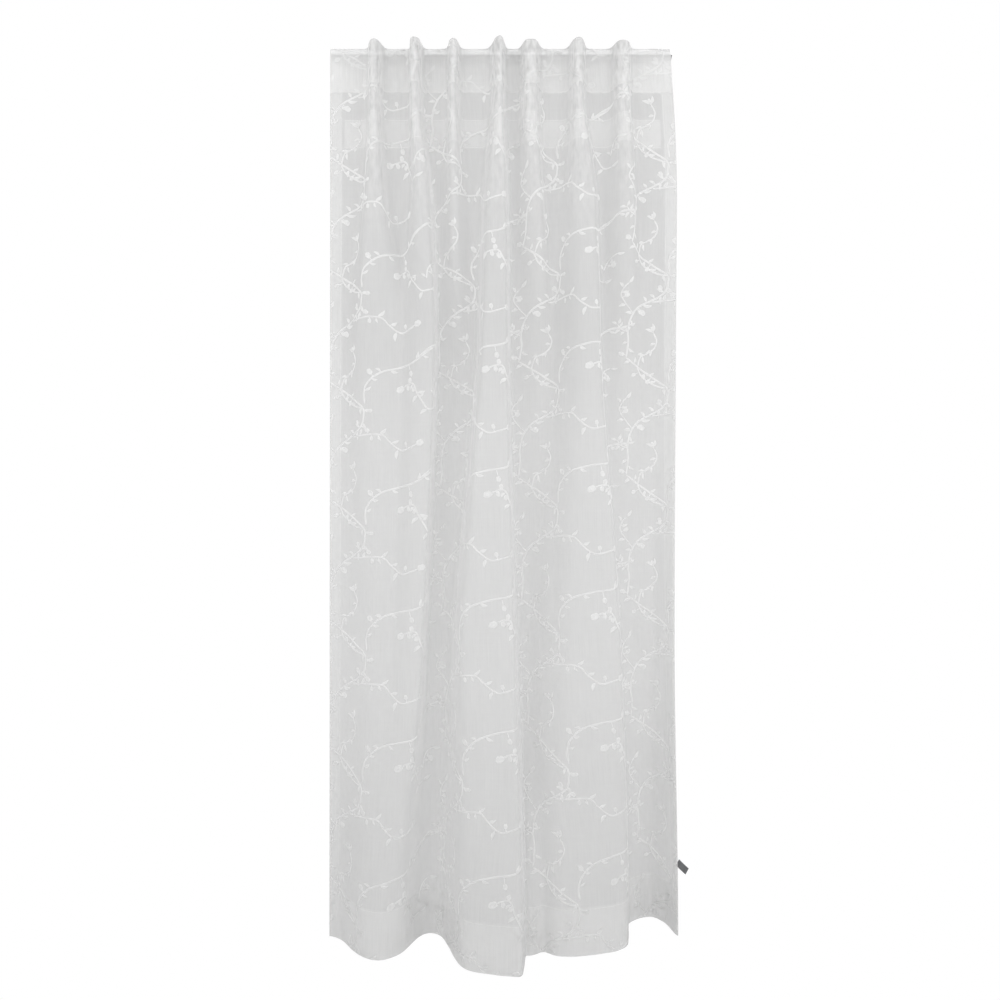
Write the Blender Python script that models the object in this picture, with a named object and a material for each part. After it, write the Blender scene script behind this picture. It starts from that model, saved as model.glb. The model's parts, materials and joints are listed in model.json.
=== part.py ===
"""A sheer voile curtain that hangs in soft folds from a plain round rod.

Metres, Z up. The origin is the middle of the rod's centre line, the front faces
minus Y and the curtain hangs down minus Z. One closed solid for each piece:
the panel with its rod pocket and hems, the rod, the band across the back and
the small label at the side hem.
"""

import math

import bpy
import numpy as np

for old in list(bpy.data.objects):
    bpy.data.objects.remove(old, do_unlink=True)

# Sizes in metres.
FLAT_WIDTH = 1.37
DROP_BELOW_ROD = 2.435
ROD_RADIUS = 0.014
ROD_LEFT = -0.4620
ROD_RIGHT = 0.4705
ROD_SIDES = 48
SHEET = 0.001
GAP = 0.0006
SEAM_GAP = 0.0016
POCKET_STITCH = 0.1095
POCKET_END = 0.1125
HEM_TOP = 2.308
SIDE_HEM = 0.033
HEM_EXTRA = 0.0010
COLUMNS = 66
BAND_TOP = 0.183
BAND_LOW = 0.261
BAND_INSET = 0.040
BAND_SHEET = 0.0009
LABEL_LONG = 0.033
LABEL_WIDE = 0.023
LABEL_THICK = 0.0012
LABEL_DROP = 2.243
LABEL_INSET = 0.008
LABEL_TILT = 26.0

# How far below the rod's centre each column of the fold tables holds.
LEVELS = (0.115, 0.41, 0.80, 1.62, 2.435)

# Side edges, from the middle.
EDGES = (
    # below, left, right
    (0.000, -0.4640, 0.4670),
    (0.115, -0.4640, 0.4730),
    (0.240, -0.4650, 0.4810),
    (0.410, -0.4665, 0.4870),
    (0.800, -0.4695, 0.4870),
    (1.620, -0.4720, 0.4860),
    (2.435, -0.4740, 0.4955),
)

# Where the cloth hangs between folds. Plus is behind the rod's centre.
HOLLOWS = (
    # name, share across, pocket, upper, middle, lower, hem
    ("left_edge", 0.00, -0.0151, -0.004, 0.006, 0.015, 0.024),
    ("first", 0.31, -0.0151, 0.000, 0.014, 0.024, 0.034),
    ("second", 0.57, -0.0151, 0.000, 0.012, 0.026, 0.004),
    ("sixth_fold", 0.78, -0.0151, 0.000, 0.012, 0.030, 0.030),
    ("third", 0.94, -0.0151, 0.002, 0.025, 0.064, 0.106),
    ("right_turn", 0.975, -0.0151, -0.001, 0.018, 0.046, 0.078),
    ("right_edge", 1.00, -0.0151, -0.002, 0.010, 0.020, 0.018),
)

# One row for each of the seven folds, left to right, at each level.
FOLDS = (
    (
        # pocket: name, centre, half width, left slope, right slope, out, lean
        ("one", -0.3380, 0.0165, 0.0042, 0.0042, 0.049, 0.000),
        ("two", -0.2280, 0.0150, 0.0022, 0.0030, 0.054, 0.000),
        ("three", -0.1255, 0.0140, 0.0035, 0.0032, 0.050, 0.000),
        ("four", -0.004, 0.0160, 0.0055, 0.0030, 0.060, 0.000),
        ("five", 0.083, 0.0230, 0.0040, 0.0042, 0.0455, 0.000),
        ("six", 0.210, 0.0185, 0.0045, 0.0045, 0.054, 0.000),
        ("seven", 0.331, 0.0210, 0.0045, 0.0045, 0.0425, 0.000),
    ),
    (
        # upper
        ("one", -0.338, 0.031, 0.006, 0.005, 0.056, 0.000),
        ("two", -0.212, 0.028, 0.006, 0.004, 0.068, 0.000),
        ("three", -0.123, 0.019, 0.006, 0.006, 0.044, 0.000),
        ("four", -0.013, 0.033, 0.005, 0.003, 0.078, 0.002),
        ("five", 0.090, 0.028, 0.009, 0.004, 0.050, 0.000),
        ("six", 0.219, 0.042, 0.010, 0.006, 0.070, 0.004),
        ("seven", 0.340, 0.031, 0.010, 0.005, 0.050, 0.000),
    ),
    (
        # middle
        ("one", -0.325, 0.072, 0.012, 0.020, 0.062, 0.000),
        ("two", -0.218, 0.042, 0.018, 0.0025, 0.098, 0.008),
        ("three", -0.118, 0.020, 0.012, 0.012, 0.014, 0.000),
        ("four", -0.018, 0.040, 0.0035, 0.003, 0.122, 0.004),
        ("five", 0.110, 0.030, 0.018, 0.014, 0.018, 0.000),
        ("six", 0.219, 0.050, 0.015, 0.005, 0.108, 0.006),
        ("seven", 0.345, 0.028, 0.016, 0.014, 0.020, 0.000),
    ),
    (
        # lower
        ("one", -0.330, 0.060, 0.026, 0.020, 0.086, 0.000),
        ("two", -0.252, 0.046, 0.018, 0.003, 0.110, 0.008),
        ("three", -0.118, 0.020, 0.012, 0.012, 0.004, 0.000),
        ("four", -0.041, 0.083, 0.008, 0.0035, 0.156, 0.006),
        ("five", 0.125, 0.030, 0.018, 0.014, 0.012, 0.000),
        ("six", 0.229, 0.100, 0.022, 0.005, 0.122, 0.006),
        ("seven", 0.345, 0.028, 0.016, 0.014, 0.008, 0.000),
    ),
    (
        # hem
        ("one", -0.342, 0.064, 0.024, 0.018, 0.110, 0.000),
        ("two", -0.298, 0.055, 0.020, 0.013, 0.100, 0.000),
        ("three", -0.118, 0.020, 0.012, 0.012, 0.000, 0.000),
        ("four", -0.036, 0.099, 0.015, 0.004, 0.147, 0.004),
        ("five", 0.075, 0.040, 0.012, 0.014, 0.073, 0.000),
        ("six", 0.228, 0.125, 0.020, 0.006, 0.080, 0.010),
        ("seven", 0.345, 0.028, 0.016, 0.014, 0.000, 0.000),
    ),
)


def between(keys, values, at):
    """Values given at keys, joined smoothly and never past their own range."""
    keys = np.asarray(keys, float)
    values = np.asarray(values, float)
    at = np.clip(at, keys[0], keys[-1])
    step = np.diff(keys)
    rise = np.diff(values) / step
    slope = np.zeros(len(keys))
    for k in range(1, len(keys) - 1):
        if rise[k - 1] * rise[k] > 0:
            slope[k] = 2 * rise[k - 1] * rise[k] / (rise[k - 1] + rise[k])
    i = np.clip(np.searchsorted(keys, at, side="right") - 1, 0, len(keys) - 2)
    t = (at - keys[i]) / step[i]
    start = values[i] * (1 + 2 * t) * (1 - t) ** 2 + step[i] * slope[i] * t * (1 - t) ** 2
    end = values[i + 1] * t * t * (3 - 2 * t) + step[i] * slope[i + 1] * t * t * (t - 1)
    return start + end


def plan(below, gain, count):
    """The cloth's line seen from above at one height, with its folds scaled by gain."""
    edges = np.asarray(EDGES)
    left = between(edges[:, 0], edges[:, 1], below)
    right = between(edges[:, 0], edges[:, 2], below)
    share = np.linspace(0, 1, count)
    x = left + (right - left) * share
    hollow = [between(LEVELS, row[2:], below) for row in HOLLOWS]
    back = between([row[1] for row in HOLLOWS], hollow, share)
    pushed = np.zeros(count)
    shifted = np.zeros(count)
    for fold in range(len(FOLDS[0])):
        rows = np.asarray([level[fold][1:] for level in FOLDS])
        centre, half, soft_left, soft_right, out, lean = (
            between(LEVELS, rows[:, k], below) for k in range(6)
        )
        rising = 1 / (1 + np.exp((centre - half - x) / soft_left))
        falling = 1 / (1 + np.exp((x - centre - half) / soft_right))
        pushed += (out * rising * falling) ** 4
        shifted += lean * rising * falling
    return x + shifted * gain, back - gain * pushed ** 0.25


def along(x, y):
    """Length along a line up to each of its points."""
    return np.concatenate(([0], np.cumsum(np.hypot(np.diff(x), np.diff(y)))))


def hang(below, columns):
    """Points of the cloth at one height, at the flat distances in columns."""
    low, high = 0.0, 4.0
    for _ in range(26):
        gain = (low + high) / 2
        x, y = plan(below, gain, 1500)
        if along(x, y)[-1] < FLAT_WIDTH:
            low = gain
        else:
            high = gain
    run = along(x, y)
    run *= FLAT_WIDTH / run[-1]
    return np.interp(columns, run, x), np.interp(columns, run, y)


def flat_columns():
    """Flat distances from the left edge, closer together where the folds turn."""
    fine = np.linspace(0, FLAT_WIDTH, 1351)
    weight = np.zeros(len(fine))
    for below, share in ((0.115, 0.60), (0.80, 0.15), (2.435, 0.25)):
        x, y = hang(below, fine)
        turn = np.abs(np.gradient(np.unwrap(np.arctan2(np.gradient(y), np.gradient(x)))))
        turn = np.convolve(turn, np.ones(9) / 9, "same")
        weight += share * turn / turn.sum()
    weight = np.cumsum(weight * 0.55 + 0.45 / len(fine))
    weight = (weight - weight[0]) / (weight[-1] - weight[0])
    columns = np.interp(np.linspace(0, 1, COLUMNS), weight, fine)
    for inset in (LABEL_INSET, SIDE_HEM, SIDE_HEM + 0.003, BAND_INSET):
        for fixed in (inset, FLAT_WIDTH - inset):
            columns = columns[np.abs(columns - fixed) > 0.0029]
            columns = np.sort(np.append(columns, fixed))
    return columns


def pocket(columns):
    """Rows of the rod pocket, from its end at the back, up over the rod and to its front."""
    x, y = hang(0.0, columns)
    slope = np.gradient(y) / np.gradient(x)
    lean_back = 1 / np.sqrt(1 + slope**2)
    seam_x = x - slope * lean_back * SEAM_GAP
    seam_y = y + lean_back * SEAM_GAP
    clear = ROD_RADIUS + GAP + SHEET / 2
    bulge = -y - clear
    behind = clear + 0.70 * bulge
    top = clear + 0.12 * bulge
    rows = []
    for below, open_share in (
        (POCKET_END, 0.0),
        (0.103, 0.06),
        (0.082, 0.30),
        (0.058, 0.66),
        (0.036, 0.93),
        (0.018, 1.0),
    ):
        row_x = seam_x + (x - seam_x) * open_share
        row_y = seam_y + (behind - seam_y) * open_share
        rows.append(np.stack([row_x, row_y, np.full(len(x), -below)], 1))
    middle = (behind + y) / 2
    reach = (behind - y) / 2
    for turn in range(180, -1, -20):
        angle = math.radians(turn)
        rows.append(np.stack([x, middle - reach * math.cos(angle), top * math.sin(angle)], 1))
    return rows


def sheet_rows(columns):
    """The whole panel as rows of points, with how far each row hangs below the rod."""
    rows = pocket(columns)
    depth = [0.0] * len(rows)
    levels = [POCKET_STITCH, 0.118, BAND_TOP, 0.220, BAND_LOW, 0.330, 0.410, 0.490]
    levels += [0.58, 0.68, 0.80, 0.95, 1.12, 1.30, 1.50, 1.72, 1.95, 2.16]
    levels += [HEM_TOP - 0.004, HEM_TOP, 2.37, DROP_BELOW_ROD]
    for below in levels:
        x, y = hang(below, columns)
        rows.append(np.stack([x, y, np.full(len(x), -below)], 1))
        depth.append(below)
    return np.asarray(rows), np.asarray(depth)


def outward(grid):
    """Unit normals of a grid of points, on the side away from the rod."""
    across = np.gradient(grid, axis=1)
    down = np.gradient(grid, axis=0)
    normal = np.cross(down, across)
    return normal / np.linalg.norm(normal, axis=2, keepdims=True)


def closed_sheet(name, outer, inner):
    """A closed solid between two grids of points with the same layout."""
    rows, cols = outer.shape[:2]
    points = [tuple(p) for p in outer.reshape(-1, 3)]
    points += [tuple(p) for p in inner.reshape(-1, 3)]
    half = rows * cols
    faces = []
    for r in range(rows - 1):
        for c in range(cols - 1):
            a = r * cols + c
            faces.append((a, a + cols, a + cols + 1, a + 1))
            faces.append((half + a, half + a + 1, half + a + cols + 1, half + a + cols))
    rim = [c for c in range(cols)]
    rim += [r * cols + cols - 1 for r in range(1, rows)]
    rim += [(rows - 1) * cols + c for c in range(cols - 2, -1, -1)]
    rim += [r * cols for r in range(rows - 2, 0, -1)]
    for k, a in enumerate(rim):
        b = rim[(k + 1) % len(rim)]
        faces.append((a, b, half + b, half + a))
    mesh = bpy.data.meshes.new(name)
    mesh.from_pydata(points, [], faces)
    mesh.validate()
    mesh.update()
    piece = bpy.data.objects.new(name, mesh)
    bpy.context.scene.collection.objects.link(piece)
    return piece


def face_out(piece):
    """Turns a closed solid inside out if its volume comes out negative."""
    mesh = piece.data
    mesh.calc_loop_triangles()
    points = np.array([v.co for v in mesh.vertices])
    tris = np.array([t.vertices for t in mesh.loop_triangles])
    a, b, c = points[tris[:, 0]], points[tris[:, 1]], points[tris[:, 2]]
    if np.einsum("ij,ij->i", a, np.cross(b, c)).sum() < 0:
        mesh.flip_normals()


def coat(piece, name, colour, roughness, smooth):
    """Gives a piece its own plain material."""
    material = bpy.data.materials.new(name)
    material.use_nodes = True
    shader = material.node_tree.nodes["Principled BSDF"]
    shader.inputs["Base Color"].default_value = colour
    shader.inputs["Roughness"].default_value = roughness
    piece.data.materials.append(material)
    if smooth:
        for face in piece.data.polygons:
            face.use_smooth = True


def make_panel(columns):
    """The voile panel: rod pocket, hanging cloth, side hems and bottom hem in one sheet."""
    grid, depth = sheet_rows(columns)
    normal = outward(grid)
    in_side = np.minimum(columns, FLAT_WIDTH - columns) < SIDE_HEM + 0.001
    below_pocket = (depth > POCKET_STITCH + 0.005)[:, None]
    in_hem = (depth > HEM_TOP - 0.001)[:, None]
    extra = np.where((in_side[None, :] & below_pocket) | in_hem, HEM_EXTRA, 0.0)
    outer = grid + normal * SHEET / 2
    inner = grid - normal * (SHEET / 2 + extra)[:, :, None]
    piece = closed_sheet("panel", outer, inner)
    face_out(piece)
    coat(piece, "voile", (0.86, 0.86, 0.85, 1.0), 0.9, True)


def make_band(columns):
    """The band of doubled voile across the back, below the pocket."""
    picked = columns[(columns > BAND_INSET - 1e-6) & (columns < FLAT_WIDTH - BAND_INSET + 1e-6)]
    levels = (BAND_TOP, 0.220, BAND_LOW)
    grid = []
    for below in levels:
        x, y = hang(below, picked)
        grid.append(np.stack([x, y, np.full(len(x), -below)], 1))
    grid = np.asarray(grid)
    normal = outward(grid)
    near = SHEET / 2 + 0.0005
    outer = grid - normal * near
    inner = grid - normal * (near + BAND_SHEET)
    piece = closed_sheet("back_band", outer, inner)
    face_out(piece)
    coat(piece, "band_voile", (0.86, 0.86, 0.85, 1.0), 0.9, True)


def make_rod():
    """The plain round rod, with flat ends at the sides of the pocket."""
    points = []
    for x in (ROD_LEFT, ROD_RIGHT):
        for k in range(ROD_SIDES):
            a = 2 * math.pi * k / ROD_SIDES
            points.append((x, ROD_RADIUS * math.cos(a), ROD_RADIUS * math.sin(a)))
    faces = [tuple(range(ROD_SIDES)), tuple(range(2 * ROD_SIDES - 1, ROD_SIDES - 1, -1))]
    for k in range(ROD_SIDES):
        n = (k + 1) % ROD_SIDES
        faces.append((k, ROD_SIDES + k, ROD_SIDES + n, n))
    mesh = bpy.data.meshes.new("rod")
    mesh.from_pydata(points, [], faces)
    mesh.update()
    piece = bpy.data.objects.new("rod", mesh)
    bpy.context.scene.collection.objects.link(piece)
    face_out(piece)
    coat(piece, "rod_steel", (0.62, 0.62, 0.62, 1.0), 0.32, False)


def make_label():
    """The small plain label behind the right side hem, sticking out past the edge."""
    x, y = hang(LABEL_DROP, np.array([FLAT_WIDTH - LABEL_INSET, FLAT_WIDTH]))
    run = np.array([x[1] - x[0], y[1] - y[0], 0.0])
    run /= np.linalg.norm(run)
    back = np.array([-run[1], run[0], 0.0])
    start = np.array([x[0], y[0], -LABEL_DROP])
    start = start + back * (SHEET / 2 + HEM_EXTRA + 0.0008)
    tilt = math.radians(LABEL_TILT)
    along_label = run * math.cos(tilt) + np.array([0.0, 0.0, -math.sin(tilt)])
    up_label = run * math.sin(tilt) + np.array([0.0, 0.0, math.cos(tilt)])
    length = np.linspace(0, LABEL_LONG, 7)
    height = np.array([0.0, 0.5, 1.0]) * LABEL_WIDE
    grid = []
    for h in height:
        row = []
        for s in length:
            bend = 0.10 * max(s - LABEL_INSET * 1.4, 0.0) ** 2 / LABEL_LONG
            row.append(start + along_label * s + up_label * h + back * bend)
        grid.append(row)
    grid = np.asarray(grid)
    piece = closed_sheet("label", grid, grid + back * LABEL_THICK)
    face_out(piece)
    coat(piece, "label_weave", (0.17, 0.17, 0.175, 1.0), 0.85, False)


flat = flat_columns()
make_panel(flat)
make_band(flat)
make_rod()
make_label()
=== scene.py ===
"""The sheer voile curtain as it looks: thin see-through cloth, hems, embroidery, rod and label.

Metres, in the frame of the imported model: origin at the rod's centre, front towards minus Y.
"""

import json
import math

import bpy
import numpy as np
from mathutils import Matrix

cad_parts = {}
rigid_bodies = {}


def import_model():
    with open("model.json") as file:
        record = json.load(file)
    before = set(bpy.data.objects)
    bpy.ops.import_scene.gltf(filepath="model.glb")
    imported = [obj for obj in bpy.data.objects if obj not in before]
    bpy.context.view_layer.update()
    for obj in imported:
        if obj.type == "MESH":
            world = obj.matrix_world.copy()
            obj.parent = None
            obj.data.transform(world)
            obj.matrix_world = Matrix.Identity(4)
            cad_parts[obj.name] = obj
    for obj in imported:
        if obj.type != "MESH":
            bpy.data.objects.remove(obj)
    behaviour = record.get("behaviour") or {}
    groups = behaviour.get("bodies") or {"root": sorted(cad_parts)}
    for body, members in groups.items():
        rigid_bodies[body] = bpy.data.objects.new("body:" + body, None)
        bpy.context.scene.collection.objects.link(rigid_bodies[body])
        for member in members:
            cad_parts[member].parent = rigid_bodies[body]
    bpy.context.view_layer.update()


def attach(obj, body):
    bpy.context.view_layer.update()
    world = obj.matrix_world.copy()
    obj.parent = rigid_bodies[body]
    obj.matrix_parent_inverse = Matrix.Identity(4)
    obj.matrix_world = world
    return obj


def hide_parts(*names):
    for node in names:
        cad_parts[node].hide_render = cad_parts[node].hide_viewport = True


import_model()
rng = np.random.default_rng(11)

# The sizes and fold tables of the part's source.
FLAT_WIDTH = 1.37
DROP = 2.435
ROD_RADIUS = 0.014
CLEAR = ROD_RADIUS + 0.0006 + 0.0005
SEAM_GAP = 0.0016
POCKET_STITCH = 0.1095
POCKET_END = 0.1125
HEM_TOP = 2.308
SIDE_HEM = 0.033
BAND_TOP = 0.183
BAND_LOW = 0.261
BAND_INSET = 0.040
LABEL_LONG = 0.033
LABEL_WIDE = 0.023
LABEL_THICK = 0.001
LABEL_INSET = 0.008
LABEL_DROP = 2.243
LABEL_TILT = 26.0

# Sizes that only the dressed cloth has.
EDGE_INSET = 0.0006    # the layers behind the front stay this far inside its edges
SEAM_INSET = 0.003     # a seam runs this far inside the layer that it holds
SIDE_TOP = POCKET_STITCH + 0.004
SEAM_END = 0.002       # a seam stops this far from the cloth's sides
HEM_BACK = 0.0012      # threads that go on behind the foot lie this far behind the front
SIDE_FREE, FOOT_FREE = 0.0008, 0.0015    # no thread is this near the cloth's sides or foot
BACK_SHIFT = 0.31      # so that the pocket's back doesn't have the front's creases
OVER_ROD = 0.047       # the cloth's length from the front of the rod over to its back
BULGE_BEHIND, BULGE_TOP = 0.70, 0.12    # the pocket's, as shares of its pleats' depth

LEVELS = (0.115, 0.41, 0.80, 1.62, 2.435)

EDGES = (
    # below, left, right
    (0.000, -0.4640, 0.4670),
    (0.115, -0.4640, 0.4730),
    (0.240, -0.4650, 0.4810),
    (0.410, -0.4665, 0.4870),
    (0.800, -0.4695, 0.4870),
    (1.620, -0.4720, 0.4860),
    (2.435, -0.4740, 0.4955),
)

# Where the cloth hangs between folds. Plus is behind the rod's centre.
HOLLOWS = (
    # name, share across, pocket, upper, middle, lower, hem
    ("left_edge", 0.00, -0.0151, -0.004, 0.006, 0.015, 0.024),
    ("first", 0.31, -0.0151, 0.000, 0.014, 0.024, 0.034),
    ("second", 0.57, -0.0151, 0.000, 0.012, 0.026, 0.004),
    ("sixth_fold", 0.78, -0.0151, 0.000, 0.012, 0.030, 0.030),
    ("third", 0.94, -0.0151, 0.002, 0.025, 0.064, 0.106),
    ("right_turn", 0.975, -0.0151, -0.001, 0.018, 0.046, 0.078),
    ("right_edge", 1.00, -0.0151, -0.002, 0.010, 0.020, 0.018),
)

# One row for each of the seven folds, left to right, at each level.
FOLDS = (
    (
        # pocket: name, centre, half width, left slope, right slope, out, lean
        ("one", -0.3380, 0.0165, 0.0042, 0.0042, 0.049, 0.000),
        ("two", -0.2280, 0.0150, 0.0022, 0.0030, 0.054, 0.000),
        ("three", -0.1255, 0.0140, 0.0035, 0.0032, 0.050, 0.000),
        ("four", -0.004, 0.0160, 0.0055, 0.0030, 0.060, 0.000),
        ("five", 0.083, 0.0230, 0.0040, 0.0042, 0.0455, 0.000),
        ("six", 0.210, 0.0185, 0.0045, 0.0045, 0.054, 0.000),
        ("seven", 0.331, 0.0210, 0.0045, 0.0045, 0.0425, 0.000),
    ),
    (
        # upper
        ("one", -0.338, 0.031, 0.006, 0.005, 0.056, 0.000),
        ("two", -0.212, 0.028, 0.006, 0.004, 0.068, 0.000),
        ("three", -0.123, 0.019, 0.006, 0.006, 0.044, 0.000),
        ("four", -0.013, 0.033, 0.005, 0.003, 0.078, 0.002),
        ("five", 0.090, 0.028, 0.009, 0.004, 0.050, 0.000),
        ("six", 0.219, 0.042, 0.010, 0.006, 0.070, 0.004),
        ("seven", 0.340, 0.031, 0.010, 0.005, 0.050, 0.000),
    ),
    (
        # middle
        ("one", -0.325, 0.072, 0.012, 0.020, 0.062, 0.000),
        ("two", -0.218, 0.042, 0.018, 0.0025, 0.098, 0.008),
        ("three", -0.118, 0.020, 0.012, 0.012, 0.014, 0.000),
        ("four", -0.018, 0.040, 0.0035, 0.003, 0.122, 0.004),
        ("five", 0.110, 0.030, 0.018, 0.014, 0.018, 0.000),
        ("six", 0.219, 0.050, 0.015, 0.005, 0.108, 0.006),
        ("seven", 0.345, 0.028, 0.016, 0.014, 0.020, 0.000),
    ),
    (
        # lower
        ("one", -0.330, 0.060, 0.026, 0.020, 0.086, 0.000),
        ("two", -0.252, 0.046, 0.018, 0.003, 0.110, 0.008),
        ("three", -0.118, 0.020, 0.012, 0.012, 0.004, 0.000),
        ("four", -0.041, 0.083, 0.008, 0.0035, 0.156, 0.006),
        ("five", 0.125, 0.030, 0.018, 0.014, 0.012, 0.000),
        ("six", 0.229, 0.100, 0.022, 0.005, 0.122, 0.006),
        ("seven", 0.345, 0.028, 0.016, 0.014, 0.008, 0.000),
    ),
    (
        # hem
        ("one", -0.342, 0.064, 0.024, 0.018, 0.110, 0.000),
        ("two", -0.298, 0.055, 0.020, 0.013, 0.100, 0.000),
        ("three", -0.118, 0.020, 0.012, 0.012, 0.000, 0.000),
        ("four", -0.036, 0.099, 0.015, 0.004, 0.147, 0.004),
        ("five", 0.075, 0.040, 0.012, 0.014, 0.073, 0.000),
        ("six", 0.228, 0.125, 0.020, 0.006, 0.080, 0.010),
        ("seven", 0.345, 0.028, 0.016, 0.014, 0.000, 0.000),
    ),
)


def between(keys, values, at):
    """Values given at keys, joined smoothly and never past their own range."""
    keys = np.asarray(keys, float)
    values = np.asarray(values, float)
    at = np.clip(at, keys[0], keys[-1])
    step = np.diff(keys)
    rise = np.diff(values) / step
    slope = np.zeros(len(keys))
    for k in range(1, len(keys) - 1):
        if rise[k - 1] * rise[k] > 0:
            slope[k] = 2 * rise[k - 1] * rise[k] / (rise[k - 1] + rise[k])
    i = np.clip(np.searchsorted(keys, at, side="right") - 1, 0, len(keys) - 2)
    t = (at - keys[i]) / step[i]
    start = values[i] * (1 + 2 * t) * (1 - t) ** 2 + step[i] * slope[i] * t * (1 - t) ** 2
    end = values[i + 1] * t * t * (3 - 2 * t) + step[i] * slope[i + 1] * t * t * (t - 1)
    return start + end


def plan(below, gain, count):
    """The cloth's line seen from above at one height, with its folds scaled by gain."""
    edges = np.asarray(EDGES)
    left = between(edges[:, 0], edges[:, 1], below)
    right = between(edges[:, 0], edges[:, 2], below)
    share = np.linspace(0, 1, count)
    x = left + (right - left) * share
    hollow = [between(LEVELS, row[2:], below) for row in HOLLOWS]
    back = between([row[1] for row in HOLLOWS], hollow, share)
    pushed = np.zeros(count)
    shifted = np.zeros(count)
    for fold in range(len(FOLDS[0])):
        rows = np.asarray([level[fold][1:] for level in FOLDS])
        centre, half, soft_left, soft_right, out, lean = (
            between(LEVELS, rows[:, k], below) for k in range(6)
        )
        rising = 1 / (1 + np.exp((centre - half - x) / soft_left))
        falling = 1 / (1 + np.exp((x - centre - half) / soft_right))
        pushed += (out * rising * falling) ** 4
        shifted += lean * rising * falling
    return x + shifted * gain, back - gain * pushed ** 0.25


def along(x, y):
    """Length along a line up to each of its points."""
    return np.concatenate(([0], np.cumsum(np.hypot(np.diff(x), np.diff(y)))))


# The gain at which the cloth's line is as long as the flat cloth, solved at some heights.
KNOTS = np.unique(np.round(
    np.concatenate((np.linspace(0, 0.6, 19), np.linspace(0.6, DROP, 22))), 4))
SOLVE_POINTS, HANG_POINTS = 1500, 2200


def solve_gain(below):
    """The gain at one height, found by halving the range it lies in."""
    low, high = 0.0, 4.0
    for _ in range(20):
        gain = (low + high) / 2
        if along(*plan(below, gain, SOLVE_POINTS))[-1] < FLAT_WIDTH:
            low = gain
        else:
            high = gain
    return (low + high) / 2


GAINS = [solve_gain(below) for below in KNOTS]


def hang(below, columns):
    """Points of the cloth at one height, at the flat distances in columns."""
    x, y = plan(below, between(KNOTS, GAINS, below), HANG_POINTS)
    run = along(x, y)
    run *= FLAT_WIDTH / run[-1]
    return np.interp(columns, run, x), np.interp(columns, run, y)


def grid_normals(grid):
    """Unit normals of a grid of points, towards the front of the hanging cloth."""
    normal = np.cross(np.gradient(grid, axis=0), np.gradient(grid, axis=1))
    return normal / np.maximum(np.linalg.norm(normal, axis=2, keepdims=True), 1e-9)


# Small creases pressed or pulled into the cloth, as straight soft troughs and ridges.
CREASES = (
    # name, from_u, from_v, to_u, to_v, height, width
    ("pull_one_left", 0.140, 0.118, 0.196, 0.060, 0.0016, 0.005),
    ("pull_one_right", 0.262, 0.050, 0.292, 0.112, -0.0018, 0.006),
    ("knot_one", 0.205, 0.110, 0.240, 0.072, -0.0022, 0.006),
    ("knot_one_low", 0.216, 0.150, 0.246, 0.098, 0.0020, 0.007),
    ("pull_two", 0.345, 0.070, 0.372, 0.125, 0.0014, 0.005),
    ("pull_three", 0.535, 0.128, 0.556, 0.064, -0.0014, 0.005),
    ("pull_four", 0.640, 0.100, 0.700, 0.050, 0.0020, 0.006),
    ("pull_four_low", 0.655, 0.140, 0.712, 0.086, -0.0018, 0.006),
    ("knot_five", 0.820, 0.105, 0.862, 0.066, 0.0022, 0.006),
    ("knot_five_low", 0.835, 0.135, 0.885, 0.100, -0.0022, 0.006),
    ("pull_six", 0.985, 0.068, 1.030, 0.108, -0.0018, 0.006),
    ("pull_six_flat", 1.060, 0.048, 1.115, 0.086, 0.0015, 0.004),
    ("knot_seven", 1.160, 0.104, 1.205, 0.060, 0.0024, 0.007),
    ("knot_seven_low", 1.175, 0.086, 1.238, 0.118, -0.0022, 0.006),
    ("swag_seven", 1.225, 0.100, 1.290, 0.052, 0.0016, 0.006),
    ("long_first", 0.120, 0.30, 0.155, 1.30, 0.0024, 0.012),
    ("long_second", 0.455, 0.35, 0.480, 1.55, -0.0024, 0.014),
    ("long_third", 0.600, 0.50, 0.585, 2.20, 0.0026, 0.011),
    ("long_fourth", 0.905, 0.42, 0.930, 1.70, -0.0022, 0.014),
    ("long_fifth", 1.080, 0.60, 1.100, 2.25, 0.0022, 0.012),
    ("long_sixth", 1.275, 0.30, 1.262, 1.60, -0.0020, 0.013),
)


def wave_set(count, low, high, seed):
    """A few sine waves of random length, direction and start, for soft unevenness."""
    pick = np.random.default_rng(seed)
    length = pick.uniform(low, high, count)
    return [(2 * math.pi / s, pick.uniform(-0.35, 0.35), pick.uniform(0, 6.28)) for s in length]


SOFT_WAVES = wave_set(7, 0.045, 0.15, 3)
PUCKER_WAVES = wave_set(6, 0.010, 0.026, 8)
SPAN_WAVES = wave_set(5, 0.25, 0.7, 21)


def rolling(waves, run, side, slant=1.0):
    """The mean of some waves, at distances along their run and to its side."""
    return sum(np.sin(k * run + slant * lean * k * side + start)
               for k, lean, start in waves) / len(waves)


def hump(off, width):
    """A smooth rise of height one where off is zero, gone about two widths away."""
    return np.exp(-((off / width) ** 2))


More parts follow.
